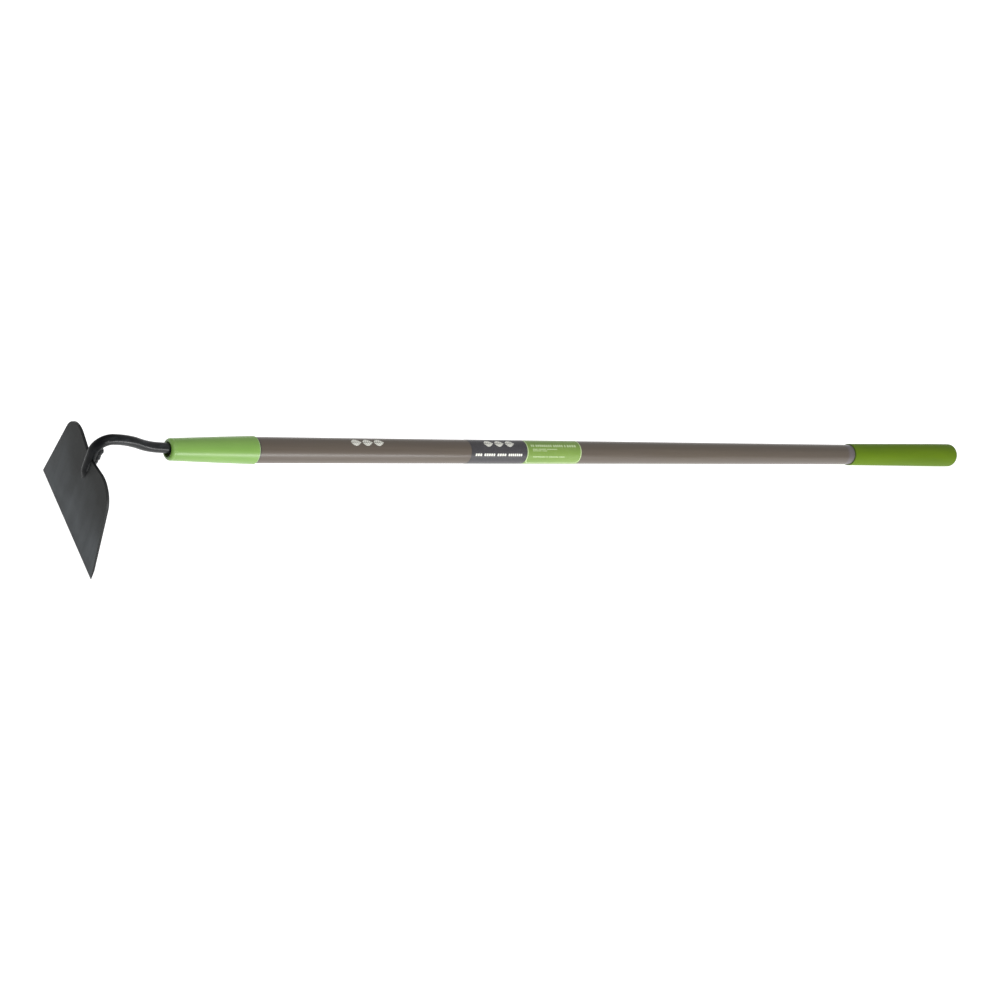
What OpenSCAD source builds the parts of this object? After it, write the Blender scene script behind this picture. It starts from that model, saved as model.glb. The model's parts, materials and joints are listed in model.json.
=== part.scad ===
// Long-handled garden hoe with a goose-neck shank, lying as it rests on the ground:
// the cutting edge and the butt of the end grip touch the plane z = 0.
// Millimetres, +Z up, +X from the head to the grip, the blade centred on y = 0.

/* [Blade] */
// Width of the cutting edge
blade_w = 162; // [140:1:180]
// Height from the top of the shoulders to the cutting edge
blade_h = 114.6; // [100:0.1:130]
// Lean of the sides away from square, which narrows the blade towards the shoulders
side_lean = 11; // [6:0.1:14]
// Radius of the rounded shoulders
shoulder_r = 27.5; // [20:0.5:32]
// Slope of the top edges down towards the neck
neck_dip = 13; // [5:0.1:15]
// Thickness at the shoulders
blade_t_top = 3.3; // [2.8:0.1:4]
// Thickness just above the sharpened bevel
blade_t_low = 2.5; // [1.5:0.1:2.8]
// Thickness left at the cutting edge
edge_land = 0.8; // [0.5:0.1:1.2]
// Height of the sharpened bevel on the back of the blade
bevel_h = 11; // [6:0.5:20]
// Angle between the blade and the handle, measured on the handle's side
blade_angle = 82.6; // [75:0.1:88]

/* [Shank] */
// Diameter of the goose-neck rod
rod_d = 12; // [10:0.1:12.4]
// Height of the neck's crest above the handle's axis
crest_z = 14.8; // [14.2:0.1:15]
// Distance from the crest to the ferrule's back rim
crest_x = 183.8; // [182:0.2:186]
// Bend radius of the rod's centre line where it turns down to the blade
bend_r = 16.8; // [14:0.2:18]
// Steepest rise of the neck
neck_rise = 20.8; // [19.6:0.2:21.4]
// Tilt of the tang in the handle
tang_tilt = 4; // [3.6:0.1:4.6]
// Length of the rod's foot that is let into the blade
foot_len = 36; // [30:1:44]
// Length of the tapered end of the foot
foot_taper = 17; // [10:1:22]
// Height of the weld bead beside the foot
weld_h = 1.6; // [1:0.1:2]
// How far the heavy bead on the handle's side stands out from the rod
heavy_bead = 4.4; // [3:0.1:4.6]

/* [Ferrule] */
// Length of the ferrule
ferrule_len = 111.4; // [109:0.1:113]
// Outer diameter at the mouth
mouth_d = 25.2; // [24:0.1:26]
// Outer diameter at the back rim
rim_d = 32.5; // [32:0.1:33.4]
// Wall thickness
ferrule_wall = 1.1; // [0.8:0.1:1.4]
// Diameter of the opening inside the turned-in lip
mouth_hole_d = 17; // [16.8:0.2:20.2]
// Radius of the rounded mouth
mouth_round = 4; // [2:0.5:5]

/* [Handle] */
// Diameter at the ferrule's back rim
handle_d = 30.1; // [29.6:0.1:30.4]
// Diameter at the butt end, under the grip
handle_tip_d = 28.3; // [27.6:0.1:28.8]
// Length of the wooden handle, nose to butt
handle_len = 1368; // [1300:1:1400]
// Thickness of the resin coat
coat_t = 1; // [0.6:0.1:1.5]

/* [Grip] */
// Length of the end grip
grip_len = 240; // [220:1:260]
// Outer diameter at the open end
grip_d = 31.2; // [31:0.1:32]
// Outer diameter at the butt
grip_butt_d = 34.2; // [33.5:0.1:35]
// Radius of the rounded butt
butt_r = 6.5; // [3:0.5:8]

/* [Labels] */
// Distance from the ferrule's back rim to the wrap label
label_x = 307.5; // [290:0.5:330]
// Length of the label's dark panel
label_dark_len = 90.5; // [80:0.5:100]
// Length of the label's green panel
label_green_len = 91.5; // [80:0.5:100]
// Thickness of the label film
film_t = 0.12; // [0.1:0.01:0.2]
// Distance from the ferrule's back rim to the middle of the printed emblem
emblem_x = 152; // [140:1:160]
// Length of one leaf of the emblem
leaf_len = 15; // [12:0.5:16]

/* [Hidden] */
$fn = 96;

// Everything below is laid out along the handle: its axis is the X axis, the ferrule's
// back rim is at x = 0 and the head is on the -X side.
blade_lean = 90 - blade_angle;
rod_r = rod_d / 2;
seam = 0.02;                            // step between one length of the rod and the next
seam_lap = 0.4;                         // how far they reach into each other

// The goose-neck, from the ferrule to the blade
tang_x0 = -81.6;                        // where the tilted tang crosses the handle's axis
tang_end = 12;                          // tip of the tang inside the handle
tang_tip_r = 2.2;
tang_root_x = -104;                     // where the tang starts to taper, at the handle's nose
neck_x = -124.5;                        // where the neck leaves the tang's straight line
arc_in = [neck_x, (tang_x0 - neck_x) * tan(tang_tilt)];
neck_len = (tang_root_x - arc_in[0]) / cos(tang_tilt);
tang_len = (tang_end - arc_in[0]) / cos(tang_tilt);
crest = [-crest_x, crest_z];
// One arc lifts the neck and a second one levels it at the crest; with both angles given,
// their two radii close the gap between arc_in and the crest.
sweep_x = [sin(neck_rise) - sin(tang_tilt), sin(neck_rise)];
sweep_z = [cos(tang_tilt) - cos(neck_rise), 1 - cos(neck_rise)];
gap = [arc_in[0] - crest[0], crest[1] - arc_in[1]];
sweep_det = sweep_x[0] * sweep_z[1] - sweep_x[1] * sweep_z[0];
lift_r = (gap[0] * sweep_z[1] - gap[1] * sweep_x[1]) / sweep_det;
level_r = (gap[1] * sweep_x[0] - gap[0] * sweep_z[0]) / sweep_det;
lift_c = arc_in + lift_r * [sin(tang_tilt), cos(tang_tilt)];
level_c = crest - [0, level_r];
bend_c = crest - [0, bend_r];
foot_top = bend_c + bend_r * [-cos(blade_lean), -sin(blade_lean)];
foot_dir = [sin(blade_lean), -cos(blade_lean)];

// The blade's own frame: its front face is the plane through blade_x on the handle's
// axis, leaning by blade_lean; x runs from the front face to the back, z up the blade.
rod_depth = blade_t_top / 2;            // rod's centre line behind the blade's front face
blade_x = foot_top[0] + foot_top[1] * tan(blade_lean) - rod_depth / cos(blade_lean);
shoulder_z = -7.4;
edge_z = shoulder_z - blade_h;
corner_z = shoulder_z - shoulder_r;
shoulder_tuck = shoulder_r - 0.02;       // the straight edges run out just inside the shoulders
corner_y = blade_w / 2 - shoulder_r * cos(side_lean)
    - tan(side_lean) * (corner_z + shoulder_r * sin(side_lean) - edge_z);
side_pt = [corner_y + shoulder_tuck * cos(side_lean), corner_z + shoulder_tuck * sin(side_lean)];
top_pt = [corner_y - shoulder_tuck * sin(neck_dip), corner_z + shoulder_tuck * cos(neck_dip)];
dip_z = top_pt[1] - top_pt[0] * tan(neck_dip);
foot_len_free = -shoulder_z;            // part of the foot above the blade
foot_full = foot_len_free + foot_len - foot_taper;
foot_tip_r = 0.4 * blade_t_top;
weld_reach = 2.4;
heavy_r = 4.4;                          // the heavy bead's own radius
heavy_from = -3;                        // where it starts and ends, measured along the foot
heavy_to = 22;
heavy_end = 2;                          // chamfer at both ends

// The ferrule
lip_len = 6;
rim_round = 0.5;
ferrule_slope = (rim_d - mouth_d) / 2 / (ferrule_len - lip_len);

// The handle
nose_x = tang_root_x;
coat_x = -12;                           // the coat runs a little way into the ferrule
butt_x = nose_x + handle_len;
core_chamfer = 2;
function handle_r(x) = handle_d / 2 - (handle_d - handle_tip_d) / 2 * x / butt_x;
function ferrule_r(x) = rim_d / 2 + ferrule_slope * x;
function socket_r(x) = min(ferrule_r(x) - ferrule_wall, handle_r(x));

// The end grip
grip_cap = 5;
grip_end = butt_x + grip_cap;
grip_x = grip_end - grip_len;
grip_straight = 24;                     // length of the straight stretch before the rounded butt
grip_lip = 0.8;

// The resting attitude: the handle slopes down to the grip until the lowest corner of the
// cutting edge and the rounded butt lie on one level
edge_pt = [blade_x + edge_z * -sin(blade_lean), edge_z * cos(blade_lean)];
butt_c = [grip_end - butt_r, grip_butt_d / 2 - butt_r];
run_x = butt_c[0] - edge_pt[0];
drop_z = -edge_pt[1] - butt_c[1];
lay = atan2(drop_z, run_x) - asin(butt_r / norm([run_x, drop_z]));
function laid(p) = [p[0] * cos(lay) + p[1] * sin(lay), p[1] * cos(lay) - p[0] * sin(lay)];
head_end = laid(bend_c)[0] - bend_r - rod_r;
grip_tip = laid(butt_c)[0] + butt_r;
floor_z = laid(edge_pt)[1];

module in_place() {
    translate([-(head_end + grip_tip) / 2, 0, -floor_z]) rotate([0, lay, 0]) children();
}

// A shape turned about the handle's axis: its points are [radius, x].
module turned() {
    rotate([0, 90, 0]) rotate_extrude() children();
}

// A bend of the rod in the XZ plane about a centre, from one angle to another
module rod_bend(centre, r, from, to, section_r) {
    translate([centre[0], 0, centre[1]]) rotate([90, 0, 0]) rotate([0, 0, from])
        rotate_extrude(angle = to - from) translate([r, 0]) circle(section_r);
}

// A straight length of the rod: it starts at a point of the XZ plane, runs along an angle, and
// is round with the given [radius, distance] outline
module rod_straight(start, angle, outline) {
    translate([start[0], 0, start[1]]) rotate([0, 90 - angle, 0])
        rotate_extrude() polygon(outline);
}

// The rod's foot: straight beside the blade, then tapered until it sinks into both faces
module foot(extra = 0) {
    r = rod_r - seam + extra;
    rod_straight(foot_top, blade_lean - 90,
        [[0, -seam_lap], [r, -seam_lap], [r, foot_full], [foot_tip_r + extra, foot_full + foot_taper],
         [0, foot_full + foot_taper]]);
}

// The tang and the straight end of the neck
module tang() {
    r = rod_r - seam;
    rod_straight(arc_in, -tang_tilt,
        [[0, -seam_lap], [r, -seam_lap], [r, neck_len], [tang_tip_r, tang_len], [0, tang_len]]);
}

module shank_body() {
    lap = seam_lap / level_r * 180 / PI;
    tang();
    rod_bend(lift_c, lift_r, 270 - neck_rise, 270 - tang_tilt, rod_r);
    rod_bend(level_c, level_r, 90 - neck_rise - lap, 90 + lap, rod_r - seam);
    rod_bend(bend_c, bend_r, 90, 180 + blade_lean, rod_r);
    foot();
}

module in_blade_frame() {
    translate([blade_x, 0, 0]) rotate([0, -blade_lean, 0]) children();
}

// The blade's outline as a slab between two depths, 0 being the front face
module blade_slab(from, to) {
    thickness = to - from;
    translate([from, 0, 0]) rotate([90, 0, 90]) {
        linear_extrude(thickness)
            polygon([[0, dip_z], top_pt, side_pt, [blade_w / 2, edge_z],
                     [-blade_w / 2, edge_z], [-side_pt[0], side_pt[1]], [-top_pt[0], top_pt[1]]]);
        for (side = [-1, 1])
            translate([side * corner_y, corner_z]) cylinder(h = thickness, r = shoulder_r);
    }
}

module blade_plate() {
    bevel_z = edge_z + bevel_h;
    intersection() {
        blade_slab(0, blade_t_top);
        rotate([90, 0, 0]) linear_extrude(blade_w + 2, center = true)
            polygon([[0, 0], [blade_t_top, 0], [blade_t_top, corner_z], [blade_t_low, bevel_z],
                     [edge_land, edge_z], [0, edge_z]]);
    }
}

module blade() {
    color("#46484a") in_place() difference() {
        in_blade_frame() blade_plate();
        foot();
    }
}

module shank() {
    color("#26282a") in_place() shank_body();
}

// The part of the weld bead beside the foot that lies between two depths of the blade
module foot_bead(from, to) {
    intersection() {
        in_blade_frame() blade_slab(from, to);
        foot(weld_reach);
    }
}

// The heavy bead that runs down the handle's side of the rod and onto the back of the blade
module heavy_bead_body() {
    offset = rod_r + heavy_bead - heavy_r;
    start = foot_top + heavy_from * foot_dir + offset * [cos(blade_lean), sin(blade_lean)];
    length = heavy_to - heavy_from;
    rod_straight(start, blade_lean - 90,
        [[0, 0], [heavy_r - heavy_end, 0], [heavy_r, heavy_end], [heavy_r, length - heavy_end],
         [heavy_r - heavy_end, length], [0, length]]);
}

module front_weld() {
    color("#3a3c3d") in_place() difference() {
        foot_bead(-weld_h, 0);
        shank_body();
    }
}

module back_weld() {
    color("#3a3c3d") in_place() difference() {
        union() {
            foot_bead(blade_t_top, blade_t_top + 2 * weld_h);
            heavy_bead_body();
        }
        shank_body();
        in_blade_frame() blade_plate();
    }
}

module ferrule() {
    hole_r = mouth_hole_d / 2;
    mouth_r = mouth_d / 2;
    round_x = -ferrule_len + mouth_round;
    cone_x = -ferrule_len + lip_len;
    back_r = rim_d / 2;
    color("#6ea04a") in_place() turned() {
        intersection() {
            translate([mouth_r - mouth_round, round_x]) circle(mouth_round);
            polygon([[hole_r, -ferrule_len], [mouth_r, -ferrule_len], [mouth_r, round_x],
                     [hole_r, round_x]]);
        }
        polygon([[hole_r, round_x], [mouth_r, round_x], [mouth_r, cone_x],
                 [back_r - ferrule_slope * rim_round, -rim_round], [back_r - rim_round, 0],
                 [back_r - ferrule_wall, 0], [ferrule_r(cone_x) - ferrule_wall, cone_x],
                 [hole_r, cone_x]]);
        translate([back_r - rim_round, -rim_round]) circle(rim_round);
    }
}

module handle_core() {
    tip_r = handle_r(butt_x) - coat_t;
    color("#c9a36b") in_place() difference() {
        turned() polygon([[0, nose_x], [socket_r(nose_x), nose_x], [socket_r(coat_x), coat_x],
                          [handle_r(0) - coat_t, coat_x], [handle_r(0) - coat_t, 0],
                          [tip_r, butt_x - core_chamfer], [tip_r - core_chamfer, butt_x],
                          [0, butt_x]]);
        shank_body();
    }
}

module handle_coat() {
    tip_r = handle_r(butt_x) - coat_t;
    color("#6e6358") in_place() turned()
        polygon([[handle_r(0) - coat_t, coat_x], [socket_r(coat_x), coat_x], [handle_r(0) - 0.01, 0],
                 [handle_r(0), 0], [handle_r(butt_x), butt_x - core_chamfer],
                 [tip_r, butt_x - core_chamfer], [handle_r(0) - coat_t, 0]]);
}

module end_grip() {
    open_r = grip_d / 2;
    butt_rad = grip_butt_d / 2;
    straight_x = grip_end - butt_r - grip_straight;
    color("#6f9030") in_place() turned() difference() {
        union() {
            polygon([[0, grip_x], [open_r - grip_lip, grip_x], [open_r, grip_x + grip_lip],
                     [butt_rad, straight_x], [butt_rad, grip_end - butt_r],
                     [butt_rad - butt_r, grip_end], [0, grip_end]]);
            translate([open_r - grip_lip, grip_x + grip_lip]) circle(grip_lip);
            translate([butt_rad - butt_r, grip_end - butt_r]) circle(butt_r);
        }
        polygon([[-1, grip_x - 1], [handle_r(grip_x - 1), grip_x - 1], [handle_r(butt_x), butt_x],
                 [-1, butt_x]]);
    }
}

// A film wrapped round the handle from x1 to x2
module film(x1, x2) {
    turned() polygon([[handle_r(x1), x1], [handle_r(x1) + film_t, x1],
                      [handle_r(x2) + film_t, x2], [handle_r(x2), x2]]);
}

module label_dark() {
    color("#4b4b52") in_place() film(label_x, label_x + label_dark_len);
}

module label_green() {
    start = label_x + label_dark_len;
    color("#82a550") in_place() film(start, start + label_green_len);
}

// A pointed leaf with its long side along X: the overlap of two circles
module leaf(length, width) {
    arc_r = (length * length + width * width) / (4 * width);
    intersection() {
        translate([0, arc_r - width / 2]) circle(arc_r);
        translate([0, width / 2 - arc_r]) circle(arc_r);
    }
}

// Three plain leaves in a row, printed on the top of the handle
module top_emblem() {
    leaf_w = 10;
    pitch = leaf_len + 1.5;
    color("#e8e6d8") in_place() intersection() {
        film(emblem_x - 2 * pitch, emblem_x + 2 * pitch);
        linear_extrude(handle_d)
            for (i = [-1, 0, 1]) translate([emblem_x + i * pitch, 0]) leaf(leaf_len, leaf_w);
    }
}

blade();
shank();
front_weld();
back_weld();
ferrule();
handle_core();
handle_coat();
end_grip();
label_dark();
label_green();
top_emblem();
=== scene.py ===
"""Long-handled garden hoe: detailed pieces over the CAD frame, materials, light and camera."""

import json
import math

import bmesh
import bpy
from mathutils import Matrix, Vector, noise


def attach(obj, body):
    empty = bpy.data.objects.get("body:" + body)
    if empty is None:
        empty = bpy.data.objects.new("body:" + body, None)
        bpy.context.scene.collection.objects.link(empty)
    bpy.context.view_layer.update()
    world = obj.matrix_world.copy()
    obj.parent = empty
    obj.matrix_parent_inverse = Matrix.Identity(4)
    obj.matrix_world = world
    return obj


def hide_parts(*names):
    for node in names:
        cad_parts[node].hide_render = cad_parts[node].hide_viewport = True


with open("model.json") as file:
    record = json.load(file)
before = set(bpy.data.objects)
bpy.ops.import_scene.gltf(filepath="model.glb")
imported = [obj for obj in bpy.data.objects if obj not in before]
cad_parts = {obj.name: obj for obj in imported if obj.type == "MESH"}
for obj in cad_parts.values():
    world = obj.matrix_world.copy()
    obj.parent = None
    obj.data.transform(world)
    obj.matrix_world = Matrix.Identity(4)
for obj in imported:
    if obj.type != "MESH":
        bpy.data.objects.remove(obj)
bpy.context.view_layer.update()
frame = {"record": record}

# ---------------------------------------------------------------- the handle's own frame
# Lengths along the handle are in millimetres from the ferrule's back rim, as in the CAD. The
# mount sits halfway along the butt's last straight stretch, which fixes the rim in the frame.
MM = 0.001
CAD_GRIP_END, BUTT_ROUND, BUTT_STRAIGHT = 1269.0, 6.5, 24.0
PIN = frame["record"]["mounts"][0]
PIN_X = CAD_GRIP_END - BUTT_ROUND - BUTT_STRAIGHT / 2
AXIS = Vector(PIN["axis"]).normalized()
RIM = Vector(PIN["pos_m"]) - AXIS * PIN_X * MM
HANDLE = Matrix.Translation(RIM) @ Matrix.Rotation(math.atan2(-AXIS.z, AXIS.x), 4, "Y")

# The neck's centre line, worked out as in the CAD; the blade hangs from the end of its bend.
BLADE_LEAN, BLADE_T = math.radians(7.4), 3.3
TANG_TILT, NECK_RISE = math.radians(4), math.radians(20.8)
CREST, BEND_R = Vector((-183.8, 0, 14.8)), 16.8
NECK_X, TANG_CROSS_X = -124.5, -81.6
ARC_IN = Vector((NECK_X, 0, (TANG_CROSS_X - NECK_X) * math.tan(TANG_TILT)))


def neck_radii():
    """Radii of the arc that lifts the neck and of the one that levels it at the crest."""
    across, up = ARC_IN.x - CREST.x, CREST.z - ARC_IN.z
    lift_x = math.sin(NECK_RISE) - math.sin(TANG_TILT)
    lift_z = math.cos(TANG_TILT) - math.cos(NECK_RISE)
    level_x, level_z = math.sin(NECK_RISE), 1 - math.cos(NECK_RISE)
    det = lift_x * level_z - level_x * lift_z
    return (across * level_z - up * level_x) / det, (up * lift_x - across * lift_z) / det


LIFT_R, LEVEL_R = neck_radii()
LIFT_C = ARC_IN + LIFT_R * Vector((math.sin(TANG_TILT), 0, math.cos(TANG_TILT)))
LEVEL_C = CREST - Vector((0, 0, LEVEL_R))
BEND_C = CREST - Vector((0, 0, BEND_R))
FOOT_TOP = BEND_C - BEND_R * Vector((math.cos(BLADE_LEAN), 0, math.sin(BLADE_LEAN)))
FOOT_DIR = Vector((math.sin(BLADE_LEAN), 0, -math.cos(BLADE_LEAN)))
BLADE_X = FOOT_TOP.x + FOOT_TOP.z * math.tan(BLADE_LEAN) - BLADE_T / 2 / math.cos(BLADE_LEAN)
BLADE = HANDLE @ Matrix.Translation((BLADE_X * MM, 0, 0)) @ Matrix.Rotation(-BLADE_LEAN, 4, "Y")


# ---------------------------------------------------------------- node materials
class Surface:
    """A Principled material fed by procedural nodes in the handle's or the blade's frame."""

    def __init__(self, name, matrix=HANDLE, **sockets):
        self.material = bpy.data.materials.new(name)
        self.material.use_nodes = True
        self.tree = self.material.node_tree
        self.shader = self.tree.nodes["Principled BSDF"]
        self.normal = None
        here = self.node("ShaderNodeTexCoord").outputs["Object"]
        place = {"Vector": here, "Location": matrix.to_translation(), "Rotation": matrix.to_euler()}
        self.place = self.node("ShaderNodeMapping", place, vector_type="TEXTURE").outputs[0]
        for key, value in sockets.items():
            self.feed(self.shader.inputs[key.replace("_", " ")], value)

    def feed(self, socket, value):
        if isinstance(value, bpy.types.NodeSocket):
            self.tree.links.new(value, socket)
        elif socket.type == "RGBA" and len(value) == 3:
            socket.default_value = (*value, 1)
        else:
            socket.default_value = value

    def node(self, kind, inputs=(), **settings):
        made = self.tree.nodes.new(kind)
        for key, value in settings.items():
            setattr(made, key, value)
        for key, value in dict(inputs).items():
            self.feed(made.inputs[key], value)
        return made

    def math(self, operation, a, b=0.0):
        return self.node("ShaderNodeMath", {0: a, 1: b}, operation=operation).outputs[0]

    def scaled(self, vector, scale):
        return self.node("ShaderNodeMapping", {"Vector": vector, "Scale": scale}).outputs[0]

    def noise(self, vector, scale, detail=3.0, roughness=0.5):
        inputs = {"Vector": vector, "Scale": scale, "Detail": detail, "Roughness": roughness}
        return self.node("ShaderNodeTexNoise", inputs).outputs["Fac"]

    def spread(self, value, low, high, to_low=0.0, to_high=1.0):
        inputs = {"Value": value, 1: low, 2: high, 3: to_low, 4: to_high}
        return self.node("ShaderNodeMapRange", inputs).outputs["Result"]

    def mix(self, factor, a, b):
        made = self.node("ShaderNodeMix", data_type="RGBA")
        self.feed(made.inputs[0], factor)
        self.feed(made.inputs[6], a)
        self.feed(made.inputs[7], b)
        return made.outputs[2]

    def parts(self):
        return self.node("ShaderNodeSeparateXYZ", {0: self.place}).outputs

    def set(self, **sockets):
        for key, value in sockets.items():
            self.feed(self.shader.inputs[key.replace("_", " ")], value)

    def bump(self, height, depth, strength=1.0):
        inputs = {"Height": height, "Distance": depth, "Strength": strength}
        if self.normal:
            inputs["Normal"] = self.normal
        self.normal = self.node("ShaderNodeBump", inputs).outputs[0]
        self.feed(self.shader.inputs["Normal"], self.normal)


def blade_paint():
    """Thin black paint over rolled steel: streaky, and paler towards the cutting edge as painted
    reflection.
    """
    s = Surface("blade_paint", BLADE, Specular_IOR_Level=0.07)
    _, _, z = s.parts()
    streak = s.noise(s.scaled(s.place, (1, 70, 9)), 1.0, 4.0, 0.55)
    cloud = s.noise(s.place, 26.0, 4.0)
    speck = s.noise(s.place, 900.0, 2.0)
    # Painted reflection: the colour grows lighter down the blade, then a little darker again just
    # above the edge.
    upper = s.mix(s.spread(streak, 0.36, 0.64), (0.0062, 0.0072, 0.0070), (0.0150, 0.0163, 0.0158))
    lower = s.mix(s.spread(streak, 0.36, 0.64), (0.044, 0.0495, 0.0535), (0.066, 0.0735, 0.079))
    drift = s.math("ADD", z, s.spread(cloud, 0.3, 0.7, -0.014, 0.014))
    color = s.mix(s.spread(drift, -0.030, -0.112), upper, lower)
    color = s.mix(s.spread(drift, -0.106, -0.122, 0.0, 0.5), color, (0.030, 0.0335, 0.0355))
    color = s.mix(s.spread(speck, 0.62, 0.75, 0.0, 0.25), color, (0.065, 0.068, 0.068))
    edge = s.math("MULTIPLY", s.spread(z, -0.1216, -0.1196, 1.0, 0.0), s.spread(cloud, 0.3, 0.6))
    color = s.mix(edge, color, (0.10, 0.10, 0.098))
    s.set(Base_Color=color, Roughness=s.spread(streak, 0.2, 0.8, 0.42, 0.54))
    s.bump(s.noise(s.scaled(s.place, (1, 260, 16)), 1.0, 4.0), 0.00005, 0.35)
    s.bump(s.noise(s.place, 60.0, 3.0), 0.0004, 0.16)
    s.bump(speck, 0.00004, 0.5)
    return s.material


def sheared_edge():
    """The blade's sheared rim, where the black paint lies thick."""
    s = Surface("sheared_edge", BLADE, Specular_IOR_Level=0.3)
    run = s.noise(s.scaled(s.place, (600, 60, 60)), 1.0, 3.0)
    color = s.mix(s.spread(run, 0.35, 0.7), (0.0055, 0.0060, 0.0062), (0.0110, 0.0118, 0.0120))
    s.set(Base_Color=color, Roughness=s.spread(run, 0.3, 0.7, 0.42, 0.55))
    s.bump(run, 0.0001, 0.4)
    return s.material


def bevel_steel():
    """The ground bevel on the back of the blade, with fine grinding lines."""
    s = Surface("bevel_steel", BLADE, Metallic=1.0)
    grind = s.noise(s.scaled(s.place, (1, 1500, 60)), 1.0, 4.0, 0.6)
    stain = s.noise(s.place, 70.0, 4.0)
    color = s.mix(s.spread(grind, 0.3, 0.7), (0.19, 0.19, 0.195), (0.33, 0.33, 0.335))
    color = s.mix(s.spread(stain, 0.55, 0.8, 0.0, 0.7), color, (0.10, 0.10, 0.10))
    s.set(Base_Color=color, Roughness=s.spread(stain, 0.3, 0.7, 0.32, 0.5))
    s.bump(grind, 0.00006, 0.6)
    return s.material


def shank_paint():
    """Glossy black paint over the forged rod, dull where the foot meets the blade and darkened
    there by painted shade.
    """
    s = Surface("shank_paint", Coat_Weight=0.08, Coat_Roughness=0.14)
    x, y, _ = s.parts()
    cloud = s.noise(s.place, 55.0, 4.0)
    scale = s.noise(s.scaled(s.place, (60, 150, 150)), 1.0, 4.0, 0.6)
    speck = s.noise(s.place, 1100.0, 2.0)
    color = s.mix(s.spread(cloud, 0.35, 0.7), (0.0036, 0.0043, 0.0050), (0.0085, 0.0097, 0.0108))
    color = s.mix(s.spread(scale, 0.54, 0.66, 0.0, 0.55), color, (0.030, 0.034, 0.038))
    color = s.mix(s.spread(speck, 0.64, 0.8, 0.0, 0.4), color, (0.05, 0.052, 0.054))
    # Painted shade: darker over the far half of the bend and down the foot.
    color = s.mix(s.spread(x, -0.196, -0.172, 0.55, 0.0), color, (0.0025, 0.0030, 0.0034))
    s.set(Base_Color=color, Roughness=s.spread(scale, 0.3, 0.7, 0.38, 0.22))
    bend = s.math("MULTIPLY", s.spread(x, -0.1985, -0.1945, 0.0, 0.16),
                  s.spread(x, -0.170, -0.155, 1.0, 0.0))
    flank = s.math("MULTIPLY", bend, s.spread(s.math("ABSOLUTE", y), 0.0036, 0.0048))
    s.set(Specular_IOR_Level=s.math("ADD", s.spread(x, -0.192, -0.150, 0.05, 0.30), flank))
    s.bump(s.noise(s.place, 150.0, 3.0), 0.0006, 0.32)
    s.bump(speck, 0.00005, 0.5)
    return s.material


def weld_paint():
    """Dull black paint over the rough weld metal, with a few bright specks of painted highlight."""
    s = Surface("weld_paint", BLADE, Specular_IOR_Level=0.18)
    cloud = s.noise(s.place, 260.0, 4.0)
    color = s.mix(s.spread(cloud, 0.35, 0.7), (0.0045, 0.0054, 0.0060), (0.015, 0.017, 0.0185))
    # The bright specks are painted highlights.
    glint_specks = s.spread(s.noise(s.place, 800.0, 2.0), 0.62, 0.76, 0.0, 0.5)
    color = s.mix(glint_specks, color, (0.10, 0.105, 0.105))
    s.set(Base_Color=color, Roughness=s.spread(cloud, 0.3, 0.7, 0.30, 0.46))
    s.bump(s.noise(s.place, 700.0, 3.0), 0.0004, 0.55)
    return s.material


def ferrule_paint():
    """Green gloss paint with chip noise, painted shade round the mouth and a painted highlight on
    the back rim.
    """
    s = Surface("ferrule_paint", Specular_IOR_Level=0.5, Coat_Weight=0.30, Coat_Roughness=0.26)
    x, y, z = s.parts()
    cloud = s.noise(s.scaled(s.place, (12, 60, 60)), 1.0, 3.0)
    peel = s.noise(s.place, 700.0, 2.0)
    color = s.mix(s.spread(cloud, 0.3, 0.7), (0.155, 0.315, 0.050), (0.186, 0.354, 0.061))
    chip = s.noise(s.place, 420.0, 3.0)
    # Painted shade round the mouth reaches further back on the far, lower side.
    worn = s.math("SUBTRACT", x, s.math("MULTIPLY", s.math("SUBTRACT", y, z), 0.12))
    mouth = s.spread(worn, -0.1112, -0.1104, 1.0, 0.0)
    lip = s.math("MULTIPLY", mouth, s.spread(chip, 0.38, 0.6, 0.3, 0.9))
    color = s.mix(lip, color, (0.030, 0.050, 0.024))
    # A painted highlight: a pale band along the back rim, broken up by the chip noise.
    rim_highlight_paint = s.math("MULTIPLY", s.spread(x, -0.0013, -0.0006), s.spread(chip, 0.25, 0.5, 0.4, 0.8))
    color = s.mix(rim_highlight_paint, color, (0.46, 0.62, 0.36))
    s.set(Base_Color=color, Roughness=s.spread(cloud, 0.3, 0.7, 0.35, 0.42))
    s.bump(peel, 0.00006, 0.35)
    return s.material


def socket_steel():
    """The bare inner wall of the ferrule, with a little overspray."""
    s = Surface("socket_steel", Metallic=0.2)
    drawn = s.noise(s.scaled(s.place, (30, 500, 500)), 1.0, 3.0)
    color = s.mix(s.spread(drawn, 0.3, 0.7), (0.26, 0.30, 0.24), (0.44, 0.47, 0.40))
    s.set(Base_Color=color, Roughness=s.spread(drawn, 0.3, 0.7, 0.3, 0.45))
    s.bump(drawn, 0.0001, 0.4)
    return s.material


def nose_wood():
    """Plain sawn wood with growth rings across the handle's nose."""
    s = Surface("nose_wood", Specular_IOR_Level=0.3)
    _, y, z = s.parts()
    warp = s.noise(s.scaled(s.place, (4, 60, 60)), 1.0, 3.0)
    across = s.math("ADD", s.math("MULTIPLY", y, 5200.0), s.math("MULTIPLY", warp, 9.0))
    ring = s.math("SINE", s.math("ADD", across, s.math("MULTIPLY", z, 900.0)))
    fibre = s.noise(s.scaled(s.place, (25, 900, 900)), 1.0, 3.0)
    color = s.mix(s.spread(ring, -1.0, 1.0), (0.21, 0.175, 0.13), (0.33, 0.28, 0.21))
    color = s.mix(s.spread(fibre, 0.5, 0.75, 0.0, 0.5), color, (0.15, 0.11, 0.07))
    s.set(Base_Color=color, Roughness=s.spread(fibre, 0.3, 0.7, 0.6, 0.75))
    s.bump(fibre, 0.0001, 0.5)
    return s.material


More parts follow.
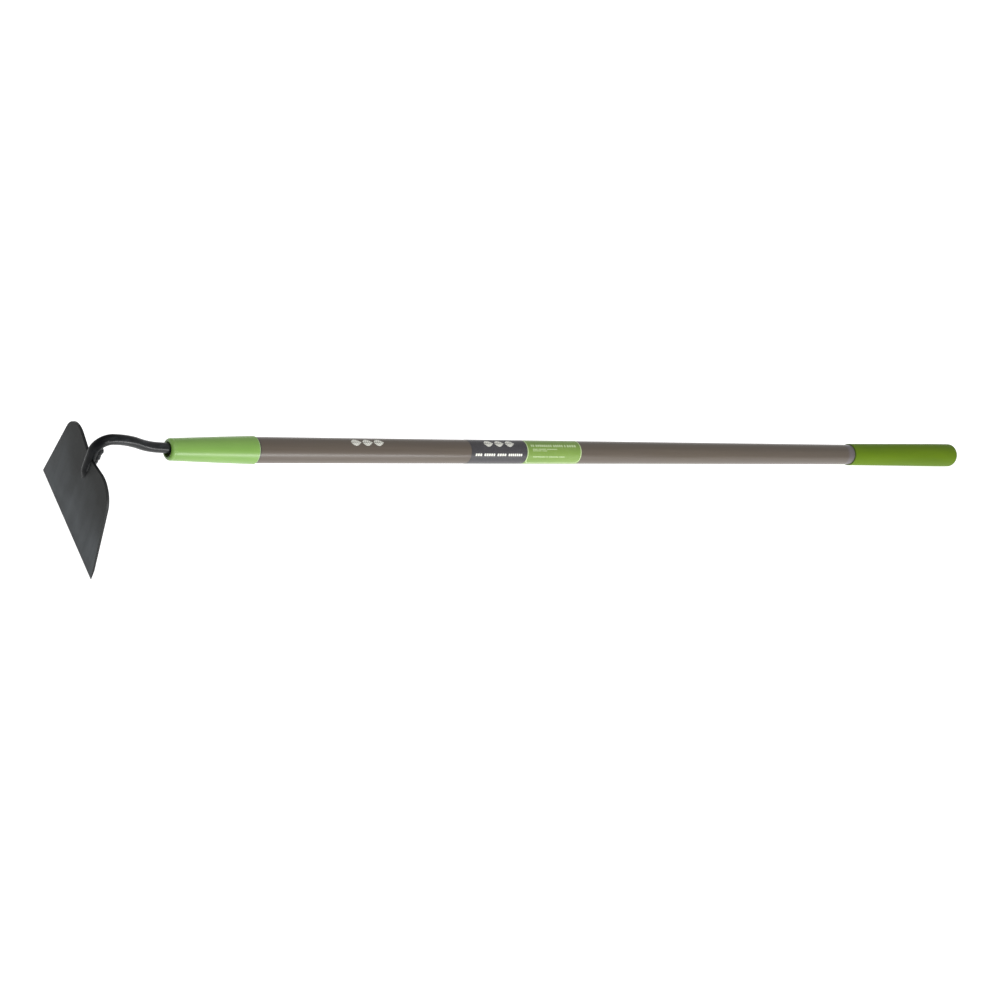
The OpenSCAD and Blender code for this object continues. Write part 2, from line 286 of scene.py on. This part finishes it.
def coat_taupe():
    """The handle's taupe coat, with a painted reflection beside the grip and painted shadow in the
    joints at both ends.
    """
    s = Surface("coat_taupe", Specular_IOR_Level=0.5)
    x, _, _ = s.parts()
    streak = s.noise(s.scaled(s.place, (5, 190, 190)), 1.0, 5.0, 0.6)
    cloud = s.noise(s.scaled(s.place, (7, 40, 40)), 1.0, 3.0)
    grain = s.noise(s.scaled(s.place, (60, 900, 900)), 1.0, 3.0)
    color = s.mix(s.spread(streak, 0.32, 0.68), (0.086, 0.067, 0.049), (0.104, 0.083, 0.063))
    color = s.mix(s.spread(cloud, 0.35, 0.7, 0.0, 0.45), color, (0.098, 0.078, 0.066))
    # A painted reflection: a pale lilac band just before the grip.
    grip_reflection_band = s.math("MULTIPLY", s.spread(x, 1.014, 1.019), s.spread(grain, 0.3, 0.6, 0.5, 0.9))
    color = s.mix(grip_reflection_band, color, (0.125, 0.110, 0.122))
    # Painted contact shadow: dark rings next to the ferrule's back rim and under the grip's lip.
    color = s.mix(s.spread(x, 0.0004, 0.0030, 0.8, 0.0), color, (0.020, 0.019, 0.016))
    color = s.mix(s.spread(x, 1.0278, 1.0288, 0.0, 0.8), color, (0.016, 0.018, 0.012))
    s.set(Base_Color=color, Roughness=s.spread(streak, 0.3, 0.7, 0.30, 0.37))
    s.bump(streak, 0.00012, 0.22)
    s.bump(grain, 0.00005, 0.35)
    return s.material


def grip_olive():
    """Finely pebbled olive rubber, with painted shade at its open lip and round the butt."""
    s = Surface("grip_olive", Specular_IOR_Level=0.16)
    x, _, _ = s.parts()
    cloud = s.noise(s.scaled(s.place, (10, 45, 45)), 1.0, 3.0)
    grain = s.node("ShaderNodeTexVoronoi", {"Vector": s.place, "Scale": 1500.0}).outputs["Distance"]
    color = s.mix(s.spread(cloud, 0.3, 0.7), (0.099, 0.178, 0.0026), (0.121, 0.208, 0.0046))
    color = s.mix(s.spread(grain, 0.0, 0.5, 0.25, 0.0), color, (0.060, 0.112, 0.002))
    # Painted shade round the butt and in the gap at the open lip.
    color = s.mix(s.spread(x, 1.2655, 1.2690, 0.0, 0.6), color, (0.030, 0.048, 0.006))
    color = s.mix(s.spread(x, 1.0296, 1.0312, 0.55, 0.0), color, (0.034, 0.056, 0.006))
    s.set(Base_Color=color, Roughness=s.spread(cloud, 0.3, 0.7, 0.55, 0.66))
    s.bump(grain, 0.00008, 0.4)
    return s.material


def film(name, dark, light, roughness):
    """A printed plastic film between two shades of one colour."""
    s = Surface(name, Specular_IOR_Level=0.36)
    cloud = s.noise(s.scaled(s.place, (18, 70, 70)), 1.0, 3.0)
    print_grain = s.noise(s.place, 1600.0, 2.0)
    color = s.mix(s.spread(cloud, 0.3, 0.7), dark, light)
    color = s.mix(s.spread(print_grain, 0.5, 0.8, 0.0, 0.12), color, (0.8, 0.8, 0.78))
    s.set(Base_Color=color, Roughness=s.spread(cloud, 0.3, 0.7, roughness, roughness + 0.06))
    s.bump(s.noise(s.scaled(s.place, (40, 160, 160)), 1.0, 2.0), 0.0001, 0.2)
    return s.material


def ink(name, dark, light):
    """Printed ink, slightly worn."""
    s = Surface(name, Specular_IOR_Level=0.4)
    worn = s.noise(s.place, 800.0, 3.0)
    s.set(Base_Color=s.mix(s.spread(worn, 0.35, 0.65), dark, light))
    s.set(Roughness=s.spread(worn, 0.3, 0.7, 0.42, 0.55))
    s.bump(worn, 0.00003, 0.3)
    return s.material


# ---------------------------------------------------------------- mesh helpers
TURNS = 144  # segments round the handle


def piece(name, bm, material, nodes=(), matrix=HANDLE, crease=35, extra=()):
    """A finished mesh laid out in one of the frames above, riding on the hoe."""
    bmesh.ops.recalc_face_normals(bm, faces=bm.faces)
    bm.transform(matrix)
    mesh = bpy.data.meshes.new(name)
    bm.to_mesh(mesh)
    bm.free()
    for made in (material, *extra):
        mesh.materials.append(made)
    mesh.polygons.foreach_set("use_smooth", [True] * len(mesh.polygons))
    mesh.set_sharp_from_angle(angle=math.radians(crease))
    obj = bpy.data.objects.new(name, mesh)
    bpy.context.scene.collection.objects.link(obj)
    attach(obj, "root")
    if nodes:
        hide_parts(*nodes)
    return obj


def bridge(bm, a, b):
    """Faces between two rings of one size, or between a ring and a pole."""
    count = max(len(a), len(b))
    for k in range(count):
        n = (k + 1) % count
        corners = [a[k % len(a)], a[n % len(a)], b[n % len(b)], b[k % len(b)]]
        bm.faces.new(list(dict.fromkeys(corners)))


def around(x, r, angle):
    """A point at a distance along the handle; angle 0 is on top and 90 degrees towards -Y."""
    return Vector((x, -r * math.sin(angle), r * math.cos(angle))) * MM


def lathe(profile, segments=TURNS, closed=False, ripple=None):
    """(x, r) points turned about the handle's axis."""
    bm = bmesh.new()
    rings = []
    for x, r in profile:
        if r < 1e-6:
            rings.append([bm.verts.new(around(x, 0, 0))])
            continue
        angles = [2 * math.pi * k / segments for k in range(segments)]
        lifts = [ripple(x, a) if ripple else 0 for a in angles]
        rings.append([bm.verts.new(around(x, r + lift, a)) for a, lift in zip(angles, lifts)])
    if closed:
        rings.append(rings[0])
    for a, b in zip(rings, rings[1:]):
        bridge(bm, a, b)
    return bm


def arc(cx, cr, radius, start, end, steps=8):
    """Profile points on an arc; 0 degrees points along +X and 90 degrees outwards."""
    turn = [math.radians(start + (end - start) * i / steps) for i in range(steps + 1)]
    return [(cx + radius * math.cos(t), cr + radius * math.sin(t)) for t in turn]


def tube(path, across, section, segments):
    """A closed tube along (x, y, z) points in mm; section(i, angle) gives its radius."""
    bm = bmesh.new()
    rings = []
    for i, point in enumerate(path):
        along = (path[min(i + 1, len(path) - 1)] - path[max(i - 1, 0)]).normalized()
        side = (across - along * across.dot(along)).normalized()
        up = along.cross(side)
        ring = []
        for k in range(segments):
            a = 2 * math.pi * k / segments
            out = side * math.cos(a) + up * math.sin(a)
            ring.append(bm.verts.new((point + section(i, a) * out) * MM))
        rings.append(ring)
    for a, b in zip(rings, rings[1:]):
        bridge(bm, a, b)
    for ring, point in ((rings[0], path[0]), (rings[-1], path[-1])):
        bridge(bm, ring, [bm.verts.new(point * MM)])
    return bm


def resample(points, step):
    """The same polyline with points at equal distances."""
    lengths = [0.0]
    for a, b in zip(points, points[1:]):
        lengths.append(lengths[-1] + (b - a).length)
    count = max(2, round(lengths[-1] / step))
    out, j = [], 0
    for i in range(count + 1):
        want = lengths[-1] * i / count
        while j < len(points) - 2 and lengths[j + 1] < want:
            j += 1
        span = lengths[j + 1] - lengths[j]
        out.append(points[j].lerp(points[j + 1], (want - lengths[j]) / span if span else 0))
    return out


# ---------------------------------------------------------------- blade
BLADE_W, LOW_T, EDGE_LAND, BEVEL_H = 162.0, 2.5, 0.8, 11.0
BLADE_H, SHOULDER_Z, SHOULDER_R, SHOULDER_STEPS = 114.6, -7.4, 27.5, 24
EDGE_Z = SHOULDER_Z - BLADE_H
SIDE_LEAN, NECK_DIP = math.radians(11), math.radians(13)
CORNER_Z = SHOULDER_Z - SHOULDER_R
CORNER_Y = (BLADE_W / 2 - SHOULDER_R * math.cos(SIDE_LEAN)
            - math.tan(SIDE_LEAN) * (CORNER_Z + SHOULDER_R * math.sin(SIDE_LEAN) - EDGE_Z))


def blade_outline():
    """The blade's outline in mm, once round from the dip: a list of (y, z)."""
    half = [(0.0, CORNER_Z + SHOULDER_R * math.cos(NECK_DIP)
             - (CORNER_Y - SHOULDER_R * math.sin(NECK_DIP)) * math.tan(NECK_DIP))]
    start, end = math.pi / 2 + NECK_DIP, SIDE_LEAN
    for i in range(SHOULDER_STEPS + 1):
        t = start + (end - start) * i / SHOULDER_STEPS
        half.append((CORNER_Y + SHOULDER_R * math.cos(t), CORNER_Z + SHOULDER_R * math.sin(t)))
    half += [(BLADE_W / 2 - 0.25, EDGE_Z + 1.3), (BLADE_W / 2 - 0.12, EDGE_Z + 0.35),
             (BLADE_W / 2 - 0.55, EDGE_Z + 0.04), (BLADE_W / 2 - 1.6, EDGE_Z)]
    return half + [(-y, z) for y, z in reversed(half[1:])]


def blade_depth(z):
    """How far the back face lies behind the front face at a height."""
    steps = [(EDGE_Z, EDGE_LAND), (EDGE_Z + BEVEL_H, LOW_T), (CORNER_Z, BLADE_T), (0.0, BLADE_T)]
    for (z0, t0), (z1, t1) in zip(steps, steps[1:]):
        if z <= z1:
            return t0 + (t1 - t0) * (z - z0) / (z1 - z0)
    return BLADE_T


def build_blade():
    bm = bmesh.new()
    bm.faces.new([bm.verts.new((0, y * MM, z * MM)) for y, z in blade_outline()])
    for z in (EDGE_Z + BEVEL_H, CORNER_Z):
        bmesh.ops.bisect_plane(bm, geom=bm.verts[:] + bm.edges[:] + bm.faces[:],
                               plane_co=(0, 0, z * MM), plane_no=(0, 0, 1))
    front = bm.faces[:]
    rim = [e for e in bm.edges if e.is_boundary]
    twin = {v: bm.verts.new((blade_depth(v.co.z / MM) * MM, v.co.y, v.co.z)) for v in bm.verts[:]}
    for e in rim:
        a, b = e.verts
        side = bm.faces.new([a, b, twin[b], twin[a]])
        if max(a.co.z, b.co.z) / MM > EDGE_Z + 0.1:
            side.material_index = 2
    for f in front:
        back = bm.faces.new([twin[v] for v in reversed(f.verts)])
        if all(v.co.z / MM < EDGE_Z + BEVEL_H + 0.01 for v in f.verts):
            back.material_index = 1
    finishes = [bevel_steel(), sheared_edge()]
    obj = piece("blade_plate", bm, blade_paint(), ["blade"], BLADE, 50, finishes)
    soft = obj.modifiers.new("soft_edges", "BEVEL")
    soft.width, soft.segments, soft.limit_method = 0.35 * MM, 3, "ANGLE"
    soft.angle_limit = math.radians(50)
    soft.harden_normals = True


# ---------------------------------------------------------------- shank and welds
ROD_R, FOOT_FULL, FOOT_TAPER, FOOT_TIP_R = 6.0, 26.4, 17.0, 1.32
FOOT_TOP_Z = (BLADE_X - FOOT_TOP.x) * math.sin(BLADE_LEAN) + FOOT_TOP.z * math.cos(BLADE_LEAN)
ROD_STEP, BEAD_STEP = 0.9, 0.22


def foot_r(left):
    """The rod's radius at a distance from the tip of its foot."""
    t = min(1.0, max(0.0, left / FOOT_TAPER))
    return FOOT_TIP_R + (ROD_R - FOOT_TIP_R) * math.sin(t * math.pi / 2)


def shank_path():
    """The rod's centre line, from inside the handle to the tip of its foot."""
    def swing(centre, r, start, end, steps):
        turn = [start + (end - start) * i / steps for i in range(steps + 1)]
        return [centre + r * Vector((math.cos(t), 0, math.sin(t))) for t in turn]
    inner = ARC_IN + 60 * Vector((math.cos(TANG_TILT), 0, -math.sin(TANG_TILT)))
    path = [inner, ARC_IN]
    top, bottom = math.radians(90), math.radians(270)
    path += swing(LIFT_C, LIFT_R, bottom - TANG_TILT, bottom - NECK_RISE, 12)[1:]
    path += swing(LEVEL_C, LEVEL_R, top - NECK_RISE, top, 16)[1:]
    path += swing(BEND_C, BEND_R, top, math.pi + BLADE_LEAN, 30)[1:]
    path += [FOOT_TOP + FOOT_DIR * FOOT_FULL, FOOT_TOP + FOOT_DIR * (FOOT_FULL + FOOT_TAPER)]
    return resample(path, ROD_STEP)


def build_shank():
    path = shank_path()
    tip = path[-1]

    def section(i, a):
        r = foot_r((tip - path[i]).length)
        place = Vector((path[i].x * 0.11, math.cos(a) * 0.8, math.sin(a) * 0.8 + path[i].z * 0.11))
        return r * (0.994 + 0.008 * noise.noise(place) + 0.003 * noise.noise(place * 5))

    bm = tube(path, Vector((0, 1, 0)), section, 64)
    piece("goose_neck", bm, shank_paint(), ["shank"])


def bead_path(front, reach):
    """A U in the blade's frame, down one side of the foot, round its tip and up the other."""
    depth = -0.25 if front else BLADE_T + 0.25
    off = abs(depth - BLADE_T / 2)
    points, steps = [], 60
    for i in range(steps + 1):
        z = -15.4 - i * (FOOT_FULL + FOOT_TAPER - 13.4) / steps
        left = FOOT_FULL + FOOT_TAPER + FOOT_TOP_Z + z
        half = math.sqrt(max(foot_r(left) ** 2 - off * off, 0))
        half += reach * min(1, 0.3 + max(0.0, left / FOOT_TAPER))
        points.append(Vector((depth, half, z)))
    end = points[-1]
    cap = [Vector((depth, end.y * math.cos(t), end.z - end.y * math.sin(t)))
           for t in (math.pi * k / 16 for k in range(1, 16))]
    mirrored = [Vector((p.x, -p.y, p.z)) for p in reversed(points)]
    return resample(points + cap + mirrored, BEAD_STEP)


def weld_bead(path, radius, pitch, seed, fade=4.0, wide=0.0):
    """A bead of overlapping ripples; it thins out towards both ends and may be wider than deep."""
    total = len(path) - 1

    def section(i, a):
        run = i * BEAD_STEP
        ripple = abs(math.sin(math.pi * run / pitch + 0.5 * math.sin(a)))
        ends = min(1.0, 0.35 + min(run, (total - i) * BEAD_STEP) / fade)
        lump = noise.noise(Vector((run * 0.35, math.cos(a) * 0.6, math.sin(a) * 0.6 + seed)))
        rough = 0.93 + 0.05 * ripple + 0.22 * lump
        return radius * ends * rough * (1 + wide * math.sin(a) ** 2)

    return tube(path, Vector((1, 0, 0)), section, 16)


def build_welds():
    paint = weld_paint()
    bm = weld_bead(bead_path(True, 0.15), 1.15, 1.5, 3.0)
    piece("front_bead", bm, paint, ["front_weld"], BLADE, 60)
    bm = weld_bead(bead_path(False, 0.6), 2.0, 1.9, 11.0)
    piece("back_bead", bm, paint, ["back_weld"], BLADE, 60)
    route = [Vector(p) for p in ((10.8, 0.2, 3.2), (9.0, 0.4, 0.2), (8.3, 0.2, -4.0),
                                 (7.7, -0.3, -10.0), (6.6, 0.3, -17.0), (4.4, 0.0, -25.5))]
    bm = weld_bead(resample(route, BEAD_STEP), 4.3, 2.9, 27.0, 7.0, 0.3)
    piece("heavy_bead", bm, paint, [], BLADE, 60)


# ---------------------------------------------------------------- ferrule and handle
FERRULE_LEN, MOUTH_R, RIM_R, WALL = 111.4, 12.6, 16.25, 1.1
LIP_LEN, MOUTH_ROUND, HOLE_R = 6.0, 4.0, 8.5
HANDLE_R, HANDLE_TIP_R, BUTT_X, NOSE_X = 15.05, 14.15, 1264.0, -104.0


def handle_r(x):
    return HANDLE_R - (HANDLE_R - HANDLE_TIP_R) * x / BUTT_X


def ferrule_r(x):
    return RIM_R + (RIM_R - MOUTH_R) / (FERRULE_LEN - LIP_LEN) * x


def build_ferrule():
    front, steps = -FERRULE_LEN, 40
    cone = [-1.1 - i * (FERRULE_LEN - LIP_LEN - 1.1) / steps for i in range(steps + 1)]
    outer = [(x, ferrule_r(x) + 0.1 * math.sin(math.pi * i / steps)) for i, x in enumerate(cone)]
    groove = [(front + g, MOUTH_R - depth)
              for g, depth in ((5.7, 0.05), (5.3, 0.2), (5.0, 0.26), (4.7, 0.2), (4.3, 0.06))]
    lip = arc(front + MOUTH_ROUND, MOUTH_R - MOUTH_ROUND, MOUTH_ROUND, 90, 168, 14)
    lip += arc(front + 0.72, HOLE_R + 0.7, 0.7, 190, 270, 6)
    inner = arc(front + MOUTH_ROUND, MOUTH_R - MOUTH_ROUND, MOUTH_ROUND - WALL, 179, 90, 8)
    inner += [(-x, ferrule_r(-x) - WALL) for x in (105, 98, 80, 60, 40, 20, 6)]
    back = [(-1.8, HANDLE_R + 0.04), (-0.3, HANDLE_R + 0.08)]
    back += arc(-0.95, RIM_R - 0.95, 0.95, -8, 90, 10)
    bm = lathe(outer + groove + lip + inner + back, closed=True)
    first, last = len(outer + groove + lip) - 1, len(outer + groove + lip + inner)
    bm.faces.ensure_lookup_table()
    for f in bm.faces:
        if first <= f.index // TURNS < last:
            f.material_index = 1
    piece("ferrule_tube", bm, ferrule_paint(), ["ferrule"], extra=[socket_steel()])


def build_core():
    r = ferrule_r(NOSE_X) - WALL - 0.05
    profile = [(NOSE_X, 0), (NOSE_X, 3.0), (NOSE_X + 0.02, 6.0), (NOSE_X + 0.05, r - 1.2)]
    profile += arc(NOSE_X + 1.1, r - 1.1, 1.1, 180, 90, 5)
    profile += [(x, ferrule_r(x) - WALL - 0.05) for x in (-90, -60, -30, -13)]
    profile += [(x, handle_r(x) - 1.05) for x in (-12.5, 0, 400, 800, BUTT_X - 2)]
    profile += [(BUTT_X - 0.2, 11), (BUTT_X - 0.2, 0)]
    bm = lathe(profile, 96)
    piece("core_rod", bm, nose_wood(), ["handle_core"])


def build_coat():
    first, last = -11.5, BUTT_X - 2.0
    xs = [first, -11.2, -6, -2, 0, *range(8, 1025, 8), 1036, 1100, 1180, last - 0.2, last]
    profile = [(x, handle_r(max(x, 0)) - (0.25 if x in (first, last) else 0.03)) for x in xs]

    def ripple(x, a):
        if x < 2 or x > 1030:
            return 0
        return 0.05 * noise.noise(Vector((x * 0.012, math.cos(a), math.sin(a))))

    bm = lathe(profile, ripple=ripple)
    piece("coat_sleeve", bm, coat_taupe(), ["handle_coat"])


GRIP_X, GRIP_END, GRIP_R, GRIP_BUTT_R = 1029.0, CAD_GRIP_END - 0.05, 15.6, 17.08


def build_grip():
    straight, steps = GRIP_END - BUTT_ROUND - BUTT_STRAIGHT, 24
    bore, x0, r0 = handle_r(GRIP_X), GRIP_X + 2, GRIP_R + 0.01
    mouth = [(GRIP_X + x, bore + gap) for x, gap in ((9, 0), (3, 0.06), (1, 0.25), (0.25, 0.4))]
    lip = arc(GRIP_X + 0.8, GRIP_R - 0.8, 0.8, 190, 90, 8)
    body = [(x0 + (straight - x0) * i / steps, r0 + (GRIP_BUTT_R - r0) * i / steps)
            for i in range(steps + 1)]
    butt = arc(GRIP_END - BUTT_ROUND, GRIP_BUTT_R - BUTT_ROUND, BUTT_ROUND, 90, 0, 12)
    dimple = [(GRIP_END - sunk, r)
              for sunk, r in ((0, 9.0), (0.05, 6.0), (0.5, 5.4), (0.6, 3.0), (0.6, 0))]
    bm = lathe(mouth + lip + body + butt + dimple)
    piece("grip_sleeve", bm, grip_olive(), ["end_grip"])


# ---------------------------------------------------------------- labels and printed marks
LABEL_X, DARK_LEN, GREEN_LEN, FILM = 307.5, 90.5, 91.5, 0.12
SEAM, SEAM_GAP = 205.0, 1.2  # angles of the label's seam, underneath
EMBLEM_X, LEAF_LEN, LEAF_W = 152.0, 15.5, 9.6


def ribbon(bm, stations, lift, steps):
    """A patch on the handle between two angles at each (x, angle, angle) station."""
    rows = []
    for x, low, high in stations:
        angles = [math.radians(low + (high - low) * k / steps) for k in range(steps + 1)]
        rows.append([bm.verts.new(around(x, handle_r(x) + lift, a)) for a in angles])
    for a, b in zip(rows, rows[1:]):
        for k in range(steps):
            bm.faces.new((a[k], a[k + 1], b[k + 1], b[k]))


def wrap_label(name, x0, x1, material, nodes):
    """A film nearly all the way round, with its seam underneath and a thin edge all round."""
    bm = bmesh.new()
    xs = [x0, x0 + 0.08] + [x0 + (x1 - x0) * i / 12 for i in range(1, 12)] + [x1 - 0.08, x1]
    lifts = [FILM * 0.35] + [FILM] * (len(xs) - 2) + [FILM * 0.35]
    rows = []
    for x, lift in zip(xs, lifts):
        angles = [math.radians(SEAM + SEAM_GAP / 2 + (360 - SEAM_GAP) * k / (TURNS - 1))
                  for k in range(TURNS)]
        rows.append([bm.verts.new(around(x, handle_r(x) + lift, a)) for a in angles])
    for a, b in zip(rows, rows[1:]):
        for k in range(TURNS - 1):
            bm.faces.new((a[k], a[k + 1], b[k + 1], b[k]))
    piece(name, bm, material, nodes)


def block(bm, x0, x1, angle, height, lift):
    """A plain printed block with softened corners, height in mm."""
    half = math.degrees(height / 2 / handle_r(x0))
    soft = min(height * 0.45, (x1 - x0) * 0.25)
    ends = [(0.0, 0.5), (0.3, 0.8), (1.0, 1.0)]
    stations = [(x0 + soft * u, angle - half * v, angle + half * v) for u, v in ends]
    stations += [(x1 - soft * u, angle - half * v, angle + half * v) for u, v in reversed(ends)]
    ribbon(bm, stations, lift, 4)


def words(bm, x0, lengths, gap, angle, height, lift):
    """Rows of plain blocks in the place of printed words."""
    for length in lengths:
        count = max(1, round(length / (height * 1.05)))
        step = length / count
        for k in range(count):
            block(bm, x0 + k * step, x0 + (k + 0.8) * step, angle, height, lift)
        x0 += length + gap


def leaf(bm, x, angle, lift):
    """A pointed leaf in slanted strips, with its midrib and its side veins left clear."""
    def margin(t):
        return LEAF_W / 2 * math.sin(math.pi * t ** 0.85) ** 1.1

    r, strips, half_rib = handle_r(x), 5, 0.45
    for side in (-1, 1):
        for k in range(strips):
            rows = []
            for i in range(5):
                t = (k + 0.12 + 0.88 * i / 4) / strips * 0.98
                u = t + 0.2 * (1 - t)
                inner = Vector(((t - 0.5) * LEAF_LEN, half_rib * (1 - t)))
                outer = Vector(((u - 0.5) * LEAF_LEN, margin(u)))
                row = []
                for j in range(6):
                    q = inner.lerp(outer, j / 5)
                    turn = math.radians(angle) + side * q.y / r
                    row.append(bm.verts.new(around(x + q.x, handle_r(x + q.x) + lift, turn)))
                rows.append(row)
            for a, b in zip(rows, rows[1:]):
                for j in range(5):
                    bm.faces.new((a[j], a[j + 1], b[j + 1], b[j]))


def frame_line(bm, x0, x1, a0, a1, corner, width, lift):
    """A line round a panel with rounded corners; a0 and a1 in degrees."""
    r = handle_r(x0)
    y0, y1 = math.radians(a0) * r, math.radians(a1) * r
    corners = [(x1 - corner, y1 - corner, 90, 0), (x1 - corner, y0 + corner, 0, -90),
               (x0 + corner, y0 + corner, -90, -180), (x0 + corner, y1 - corner, 180, 90)]
    path = []
    for cx, cy, start, end in corners:
        for i in range(13):
            t = math.radians(start + (end - start) * i / 12)
            path.append(((cx, cy), (math.cos(t), math.sin(t))))
    dense = []
    for (c, n), (c2, n2) in zip(path, path[1:] + path[:1]):
        here = (c[0] + n[0] * corner, c[1] + n[1] * corner)
        there = (c2[0] + n2[0] * corner, c2[1] + n2[1] * corner)
        steps = max(1, round(math.dist(here, there) / 1.5))
        for i in range(steps):
            u = i / steps
            dense.append([(p[0] + (q[0] - p[0]) * u, p[1] + (q[1] - p[1]) * u)
                          for p, q in ((c, c2), (n, n2))])
    rows = []
    for c, n in dense:
        row = []
        for reach in (corner, corner - width / 2, corner - width):
            x, y = c[0] + n[0] * reach, c[1] + n[1] * reach
            row.append(bm.verts.new(around(x, handle_r(x) + lift, y / r)))
        rows.append(row)
    for a, b in zip(rows, rows[1:] + rows[:1]):
        for k in range(2):
            bm.faces.new((a[k], a[k + 1], b[k + 1], b[k]))


def build_labels():
    split, end = LABEL_X + DARK_LEN, LABEL_X + DARK_LEN + GREEN_LEN
    slate = film("slate_film", (0.035, 0.033, 0.038), (0.043, 0.040, 0.046), 0.32)
    green = film("green_film", (0.152, 0.262, 0.042), (0.178, 0.292, 0.052), 0.32)
    wrap_label("label_slate", LABEL_X, split, slate, ["label_dark"])
    wrap_label("label_leaf", split, end, green, ["label_green"])

    cream = ink("cream_ink", (0.42, 0.55, 0.27), (0.54, 0.66, 0.38))
    pale = ink("pale_ink", (0.66, 0.66, 0.60), (0.80, 0.80, 0.73))
    on_label = FILM + 0.035
    bm = bmesh.new()
    frame_line(bm, split + 0.2, end - 0.3, -75, 110, 7.5, 1.2, on_label)
    words(bm, split + 7, (6, 28, 17, 3, 16), 1.7, 10.5, 3.4, on_label)
    words(bm, split + 9, (8, 13, 17), 1.4, 29, 1.2, on_label)
    words(bm, split + 9, (14, 8), 1.4, 37, 1.0, on_label)
    words(bm, split + 10, (21, 3, 16, 9), 1.4, 67, 1.3, on_label)
    piece("green_panel_print", bm, cream)
    bm = bmesh.new()
    for k in (-1, 0, 1):
        leaf(bm, LABEL_X + 46.5 + k * (LEAF_LEN + 1.5), 0, on_label)
    words(bm, LABEL_X + 6.5, (11, 18, 15, 23), 3.0, 58, 3.3, on_label)
    piece("slate_panel_print", bm, pale)
    bm = bmesh.new()
    for k in (-1, 0, 1):
        leaf(bm, EMBLEM_X + k * (LEAF_LEN + 1), 2, 0.09)
    piece("leaf_emblem", bm, pale, ["top_emblem"])


build_blade()
build_shank()
build_welds()
build_ferrule()
build_core()
build_coat()
build_grip()
build_labels()


# ---------------------------------------------------------------- floor, light and camera
def build_floor():
    bm = bmesh.new()
    bmesh.ops.create_grid(bm, x_segments=8, y_segments=8, size=9)
    mesh = bpy.data.meshes.new("floor")
    bm.to_mesh(mesh)
    bm.free()
    s = Surface("floor_white", Roughness=0.9, Specular_IOR_Level=0.1)
    s.set(Base_Color=s.mix(s.noise(s.place, 0.8, 2.0), (0.49, 0.49, 0.49), (0.51, 0.51, 0.51)))
    s.set(Emission_Color=(1, 1, 1), Emission_Strength=0.92)
    mesh.materials.append(s.material)
    floor = bpy.data.objects.new("floor", mesh)
    floor.location.z = -0.0005
    bpy.context.scene.collection.objects.link(floor)


def area_light(name, place, target, width, height, power):
    data = bpy.data.lights.new(name, "AREA")
    data.shape, data.size, data.size_y, data.energy = "RECTANGLE", width, height, power
    lamp = bpy.data.objects.new(name, data)
    lamp.location = place
    lamp.rotation_euler = (Vector(target) - Vector(place)).to_track_quat("-Z", "Y").to_euler()
    lamp.visible_camera = False
    bpy.context.scene.collection.objects.link(lamp)


def build_stage():
    """A white studio: the backdrop is pure white to the camera and softer as a light."""
    build_floor()
    world = bpy.data.worlds.new("studio")
    world.use_nodes = True
    nodes, links = world.node_tree.nodes, world.node_tree.links
    sky = nodes["Background"]
    sky.inputs["Strength"].default_value = 0.56
    backdrop = nodes.new("ShaderNodeBackground")
    for shade in (sky, backdrop):
        shade.inputs["Color"].default_value = (1, 1, 1, 1)
    blend = nodes.new("ShaderNodeMixShader")
    links.new(nodes.new("ShaderNodeLightPath").outputs["Is Camera Ray"], blend.inputs[0])
    links.new(sky.outputs[0], blend.inputs[1])
    links.new(backdrop.outputs[0], blend.inputs[2])
    links.new(blend.outputs[0], nodes["World Output"].inputs[0])
    bpy.context.scene.world = world
    area_light("strip", (0.02, -1.15, 0.12), (-0.1, 0, 0.10), 1.2, 0.22, 9.5)
    area_light("bend_glint", (-0.70, -0.92, 0.54), (-0.72, 0, 0.137), 0.15, 0.09, 1.3)
    area_light("soft_top", (-0.8, -0.6, 2.4), (0, 0, 0), 2.2, 2.2, 15)


def build_camera():
    """The camera, placed and turned in the handle's frame."""
    data = bpy.data.cameras.new("camera")
    data.lens, data.sensor_width, data.shift_y = 72.17, 36, 0.0005
    cam = bpy.data.objects.new("camera", data)
    place = HANDLE @ Vector((-1.24606, -1.31598, 1.39355))
    turn = HANDLE.to_3x3()
    right = turn @ Vector((0.7655, -0.4363, 0.4730))
    up = turn @ Vector((0.0098, 0.7429, 0.6693))
    back = right.cross(up).normalized()
    up = back.cross(right)
    pose = Matrix((right, up, back)).transposed().to_4x4()
    pose.translation = place
    cam.matrix_world = pose
    data.clip_start, data.clip_end = 0.05, 60
    bpy.context.scene.collection.objects.link(cam)
    bpy.context.scene.camera = cam


build_stage()
build_camera()
bpy.context.scene.view_settings.view_transform = "Standard"
bpy.context.scene.view_settings.look = "None"
